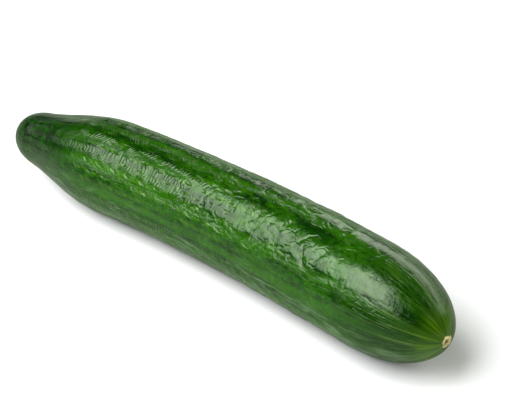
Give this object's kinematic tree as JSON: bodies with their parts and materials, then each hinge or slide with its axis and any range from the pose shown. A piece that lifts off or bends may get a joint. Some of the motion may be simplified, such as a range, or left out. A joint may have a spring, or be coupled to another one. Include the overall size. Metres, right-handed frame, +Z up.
{
  "type": "greenhouse cucumber",
  "caption": "Long, slightly bowed green cucumber with a narrow neck, a stub of cut stem and a round blossom scar, lying on its side.",
  "frame": {"origin": "on the surface that the cucumber lies on, under the middle of its bounding box", "axes": "+X along the fruit from the stem end to the blossom end, +Y to the outside of its bow, +Z up"},
  "size_m": [0.2728, 0.0556, 0.0502],
  "materials": {
    "skin": "glossy waxy dark green skin with pale green streaks",
    "stem": "dull pale green cut stem with a dry tan edge"
  },
  "bodies": {
    "root": {"fruit": "skin", "stem_stub": "stem"}
  },
  "joints": []
}
